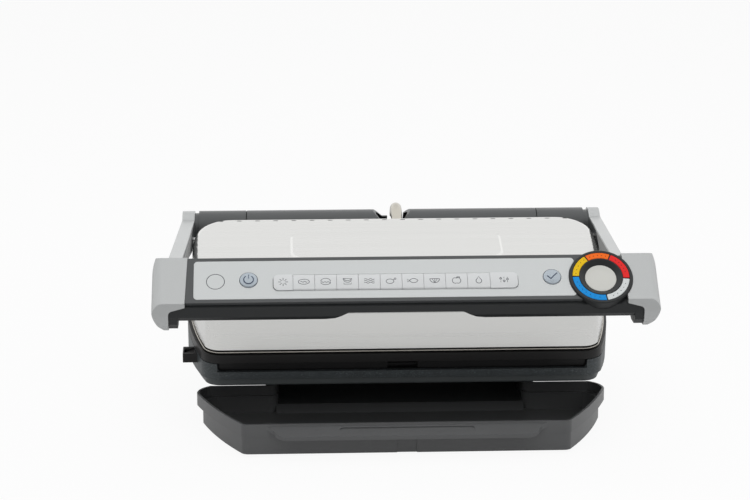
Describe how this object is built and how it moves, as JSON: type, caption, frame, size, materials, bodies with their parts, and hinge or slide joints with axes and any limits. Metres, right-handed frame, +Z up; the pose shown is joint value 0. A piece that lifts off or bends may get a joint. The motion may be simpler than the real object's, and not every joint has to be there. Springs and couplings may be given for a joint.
{
  "type": "contact grill",
  "caption": "Countertop contact grill with a hinged floating lid, sloping control panel on the handle and a pull-out drip tray.",
  "frame": {"origin": "on the table under the middle of the grill, at the middle of its width and depth", "axes": "+X to the user's right along the handle, +Y from the handle to the hinge, +Z up"},
  "size_m": [0.455, 0.336, 0.1789],
  "materials": {
    "casing_plastic": "moulded dark grey plastic, fine grain",
    "pan_plastic": "moulded dark plastic with a fleck",
    "tray_plastic": "moulded dark plastic, satin",
    "skirt_plastic": "black heat-proof plastic",
    "silver_paint": "satin silver paint",
    "fascia_silver": "satin silver panel",
    "stainless": "brushed stainless steel",
    "bright_trim": "bright metal",
    "nonstick": "non-stick coated casting",
    "heater_steel": "oxidised tubular element",
    "reflector_aluminium": "bright sheet",
    "steel": "zinc-plated steel",
    "bronze": "sintered bronze",
    "circuit_board": "green laminate",
    "rubber_black": "matt rubber",
    "key_silver": "satin silver keys",
    "button_blue_silver": "bluish silver buttons",
    "window_pale": "pale diffusing window",
    "level_yellow": "printed",
    "level_orange": "printed",
    "level_red": "printed",
    "level_white": "printed",
    "level_blue": "printed"
  },
  "bodies": {
    "base": {"base_shell": "casing_plastic", "base_bottom_cover": "pan_plastic", "leg_cover": "pan_plastic", "base_feet": "rubber_black", "base_screws": "steel", "rear_housing": "casing_plastic", "cord_gland": "rubber_black", "power_board": "circuit_board", "hinge_pins": "steel", "lower_plate": "nonstick", "lower_heater": "heater_steel", "lower_thermostat": "steel", "lower_reflector": "reflector_aluminium"},
    "lid_frame": {"arm_liner_left": "casing_plastic", "arm_liner_right": "casing_plastic", "arm_cover_left": "silver_paint", "arm_cover_right": "silver_paint", "handle_end_left": "silver_paint", "handle_end_right": "silver_paint", "handle_grip": "casing_plastic", "handle_frame": "casing_plastic", "control_panel": "fascia_silver", "control_board": "circuit_board", "indicator_bezel": "casing_plastic", "indicator_window": "window_pale", "handle_screws": "steel", "float_pins": "steel", "hinge_bushes": "bronze", "level_yellow": "level_yellow", "level_orange": "level_orange", "level_red": "level_red", "level_white": "level_white", "level_blue": "level_blue"},
    "upper_housing": {"upper_cover": "stainless", "upper_skirt": "skirt_plastic", "upper_trim": "bright_trim", "upper_plate": "nonstick", "upper_heater": "heater_steel", "upper_thermostat": "steel", "upper_reflector": "reflector_aluminium", "pivot_brackets": "steel", "wiring_conduit": "bright_trim"},
    "tray": {"drip_tray": "tray_plastic"},
    "power_button": {"power_button": "button_blue_silver"},
    "confirm_button": {"confirm_button": "button_blue_silver"},
    "lower_release": {"lower_release_button": "skirt_plastic"},
    "upper_release": {"upper_release_button": "skirt_plastic"},
    "key_1": {"key_1": "key_silver"},
    "key_2": {"key_2": "key_silver"},
    "key_3": {"key_3": "key_silver"},
    "key_4": {"key_4": "key_silver"},
    "key_5": {"key_5": "key_silver"},
    "key_6": {"key_6": "key_silver"},
    "key_7": {"key_7": "key_silver"},
    "key_8": {"key_8": "key_silver"},
    "key_9": {"key_9": "key_silver"},
    "key_10": {"key_10": "key_silver"},
    "key_11": {"key_11": "key_silver"}
  },
  "joints": [
    {"name": "lid_hinge", "type": "hinge", "parent": "base", "child": "lid_frame", "pos_m": [0, 0.131, 0.142], "axis": [-1, 0, 0], "range_deg": [0, 95]},
    {"name": "cover_float", "type": "hinge", "parent": "lid_frame", "child": "upper_housing", "pos_m": [0, 0.086, 0.143], "axis": [-1, 0, 0], "range_deg": [0, 5]},
    {"name": "tray_slide", "type": "slide", "parent": "base", "child": "tray", "axis": [0, -1, 0], "range_m": [0, 0.13]},
    {"name": "power_button_press", "type": "slide", "parent": "lid_frame", "child": "power_button", "axis": [0, 0.6561, -0.7547], "range_m": [0, 0.001], "stiffness_N_per_m": 1500, "springref_m": -0.0005},
    {"name": "confirm_button_press", "type": "slide", "parent": "lid_frame", "child": "confirm_button", "axis": [0, 0.6561, -0.7547], "range_m": [0, 0.001], "stiffness_N_per_m": 1500, "springref_m": -0.0005},
    {"name": "key_1_press", "type": "slide", "parent": "lid_frame", "child": "key_1", "axis": [0, 0.6561, -0.7547], "range_m": [0, 0.001], "stiffness_N_per_m": 1500, "springref_m": -0.0005},
    {"name": "key_2_press", "type": "slide", "parent": "lid_frame", "child": "key_2", "axis": [0, 0.6561, -0.7547], "range_m": [0, 0.001], "stiffness_N_per_m": 1500, "springref_m": -0.0005},
    {"name": "key_3_press", "type": "slide", "parent": "lid_frame", "child": "key_3", "axis": [0, 0.6561, -0.7547], "range_m": [0, 0.001], "stiffness_N_per_m": 1500, "springref_m": -0.0005},
    {"name": "key_4_press", "type": "slide", "parent": "lid_frame", "child": "key_4", "axis": [0, 0.6561, -0.7547], "range_m": [0, 0.001], "stiffness_N_per_m": 1500, "springref_m": -0.0005},
    {"name": "key_5_press", "type": "slide", "parent": "lid_frame", "child": "key_5", "axis": [0, 0.6561, -0.7547], "range_m": [0, 0.001], "stiffness_N_per_m": 1500, "springref_m": -0.0005},
    {"name": "key_6_press", "type": "slide", "parent": "lid_frame", "child": "key_6", "axis": [0, 0.6561, -0.7547], "range_m": [0, 0.001], "stiffness_N_per_m": 1500, "springref_m": -0.0005},
    {"name": "key_7_press", "type": "slide", "parent": "lid_frame", "child": "key_7", "axis": [0, 0.6561, -0.7547], "range_m": [0, 0.001], "stiffness_N_per_m": 1500, "springref_m": -0.0005},
    {"name": "key_8_press", "type": "slide", "parent": "lid_frame", "child": "key_8", "axis": [0, 0.6561, -0.7547], "range_m": [0, 0.001], "stiffness_N_per_m": 1500, "springref_m": -0.0005},
    {"name": "key_9_press", "type": "slide", "parent": "lid_frame", "child": "key_9", "axis": [0, 0.6561, -0.7547], "range_m": [0, 0.001], "stiffness_N_per_m": 1500, "springref_m": -0.0005},
    {"name": "key_10_press", "type": "slide", "parent": "lid_frame", "child": "key_10", "axis": [0, 0.6561, -0.7547], "range_m": [0, 0.001], "stiffness_N_per_m": 1500, "springref_m": -0.0005},
    {"name": "key_11_press", "type": "slide", "parent": "lid_frame", "child": "key_11", "axis": [0, 0.6561, -0.7547], "range_m": [0, 0.001], "stiffness_N_per_m": 1500, "springref_m": -0.0005},
    {"name": "lower_release_press", "type": "slide", "parent": "base", "child": "lower_release", "axis": [1, 0, 0], "range_m": [0, 0.0025], "stiffness_N_per_m": 1200, "springref_m": -0.001},
    {"name": "upper_release_press", "type": "slide", "parent": "upper_housing", "child": "upper_release", "axis": [1, 0, 0], "range_m": [0, 0.0025], "stiffness_N_per_m": 1200, "springref_m": -0.001}
  ]
}
